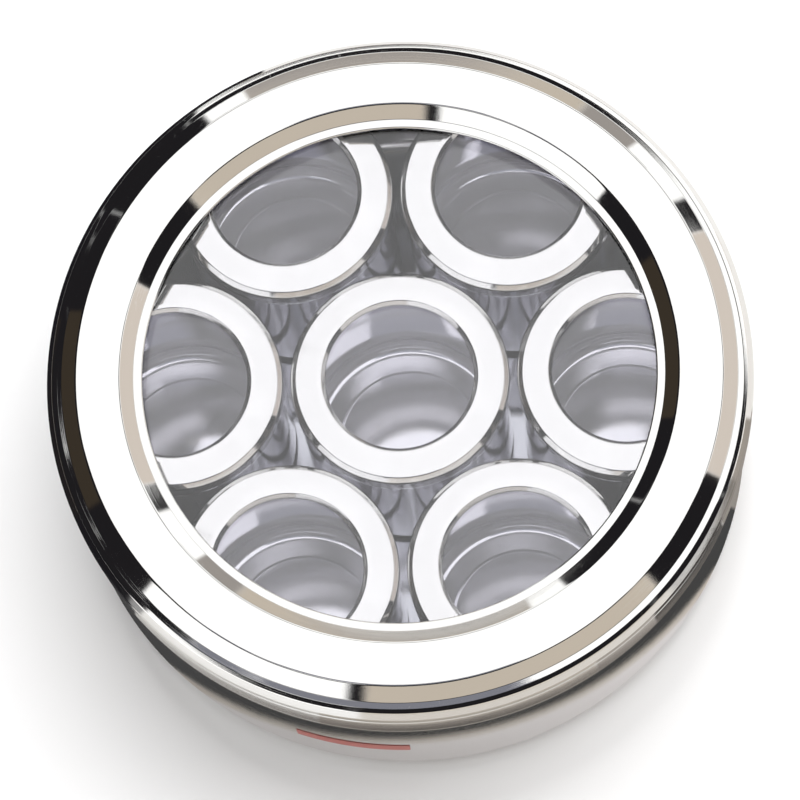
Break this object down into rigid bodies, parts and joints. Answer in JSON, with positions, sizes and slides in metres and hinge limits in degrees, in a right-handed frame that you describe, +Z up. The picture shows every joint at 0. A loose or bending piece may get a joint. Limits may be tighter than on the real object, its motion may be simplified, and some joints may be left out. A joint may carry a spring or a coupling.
{
  "type": "spice box with cups",
  "caption": "Round stainless steel spice box with small lidded cups inside and a see-through lid over them.",
  "frame": {"origin": "centre of the box's underside, on the surface it stands on", "axes": "+Z up, along the axis that every round piece is turned about or parallel to; +X from the middle cup to one outer cup"},
  "size_m": [0.2, 0.2, 0.0775],
  "materials": {
    "box_steel": "mirror-polished stainless steel",
    "lid_steel": "mirror-polished stainless steel",
    "cup_steel": "polished stainless steel, drawn, with faint turning marks",
    "cup_lid_steel": "mirror-polished stainless steel",
    "lid_pane": "clear acrylic, glossy",
    "cup_pane": "clear acrylic, glossy",
    "label": "blank printed paper label, slightly glossy"
  },
  "bodies": {
    "box": {"box_base": "box_steel"},
    "lid": {"lid_ring": "lid_steel", "lid_window": "lid_pane"},
    "cup_centre": {"cup_centre": "cup_steel"},
    "cup_centre_lid": {"cup_centre_lid_ring": "cup_lid_steel", "cup_centre_lid_window": "cup_pane"},
    "cup_1": {"cup_1": "cup_steel"},
    "cup_1_lid": {"cup_1_lid_ring": "cup_lid_steel", "cup_1_lid_window": "cup_pane"},
    "cup_2": {"cup_2": "cup_steel"},
    "cup_2_lid": {"cup_2_lid_ring": "cup_lid_steel", "cup_2_lid_window": "cup_pane"},
    "cup_3": {"cup_3": "cup_steel"},
    "cup_3_lid": {"cup_3_lid_ring": "cup_lid_steel", "cup_3_lid_window": "cup_pane"},
    "cup_4": {"cup_4": "cup_steel"},
    "cup_4_lid": {"cup_4_lid_ring": "cup_lid_steel", "cup_4_lid_window": "cup_pane"},
    "cup_5": {"cup_5": "cup_steel"},
    "cup_5_lid": {"cup_5_lid_ring": "cup_lid_steel", "cup_5_lid_window": "cup_pane"},
    "cup_6": {"cup_6": "cup_steel"},
    "cup_6_lid": {"cup_6_lid_ring": "cup_lid_steel", "cup_6_lid_window": "cup_pane"}
  },
  "joints": [
    {"name": "lid_lift", "type": "slide", "parent": "box", "child": "lid", "axis": [0, 0, 1], "range_m": [0, 0.25]},
    {"name": "cup_centre_lift", "type": "slide", "parent": "box", "child": "cup_centre", "axis": [0, 0, 1], "range_m": [0, 0.1]},
    {"name": "cup_centre_lid_lift", "type": "slide", "parent": "cup_centre", "child": "cup_centre_lid", "axis": [0, 0, 1], "range_m": [0, 0.05]},
    {"name": "cup_1_lift", "type": "slide", "parent": "box", "child": "cup_1", "axis": [0, 0, 1], "range_m": [0, 0.1]},
    {"name": "cup_1_lid_lift", "type": "slide", "parent": "cup_1", "child": "cup_1_lid", "axis": [0, 0, 1], "range_m": [0, 0.05]},
    {"name": "cup_2_lift", "type": "slide", "parent": "box", "child": "cup_2", "axis": [0, 0, 1], "range_m": [0, 0.1]},
    {"name": "cup_2_lid_lift", "type": "slide", "parent": "cup_2", "child": "cup_2_lid", "axis": [0, 0, 1], "range_m": [0, 0.05]},
    {"name": "cup_3_lift", "type": "slide", "parent": "box", "child": "cup_3", "axis": [0, 0, 1], "range_m": [0, 0.1]},
    {"name": "cup_3_lid_lift", "type": "slide", "parent": "cup_3", "child": "cup_3_lid", "axis": [0, 0, 1], "range_m": [0, 0.05]},
    {"name": "cup_4_lift", "type": "slide", "parent": "box", "child": "cup_4", "axis": [0, 0, 1], "range_m": [0, 0.1]},
    {"name": "cup_4_lid_lift", "type": "slide", "parent": "cup_4", "child": "cup_4_lid", "axis": [0, 0, 1], "range_m": [0, 0.05]},
    {"name": "cup_5_lift", "type": "slide", "parent": "box", "child": "cup_5", "axis": [0, 0, 1], "range_m": [0, 0.1]},
    {"name": "cup_5_lid_lift", "type": "slide", "parent": "cup_5", "child": "cup_5_lid", "axis": [0, 0, 1], "range_m": [0, 0.05]},
    {"name": "cup_6_lift", "type": "slide", "parent": "box", "child": "cup_6", "axis": [0, 0, 1], "range_m": [0, 0.1]},
    {"name": "cup_6_lid_lift", "type": "slide", "parent": "cup_6", "child": "cup_6_lid", "axis": [0, 0, 1], "range_m": [0, 0.05]}
  ],
  "couplings": [
    {"joint": "cup_centre_lift", "follows": "lid_lift", "ratio": 0.4},
    {"joint": "cup_centre_lid_lift", "follows": "lid_lift", "ratio": 0.2},
    {"joint": "cup_1_lift", "follows": "lid_lift", "ratio": 0.4},
    {"joint": "cup_1_lid_lift", "follows": "lid_lift", "ratio": 0.2},
    {"joint": "cup_2_lift", "follows": "lid_lift", "ratio": 0.4},
    {"joint": "cup_2_lid_lift", "follows": "lid_lift", "ratio": 0.2},
    {"joint": "cup_3_lift", "follows": "lid_lift", "ratio": 0.4},
    {"joint": "cup_3_lid_lift", "follows": "lid_lift", "ratio": 0.2},
    {"joint": "cup_4_lift", "follows": "lid_lift", "ratio": 0.4},
    {"joint": "cup_4_lid_lift", "follows": "lid_lift", "ratio": 0.2},
    {"joint": "cup_5_lift", "follows": "lid_lift", "ratio": 0.4},
    {"joint": "cup_5_lid_lift", "follows": "lid_lift", "ratio": 0.2},
    {"joint": "cup_6_lift", "follows": "lid_lift", "ratio": 0.4},
    {"joint": "cup_6_lid_lift", "follows": "lid_lift", "ratio": 0.2}
  ]
}
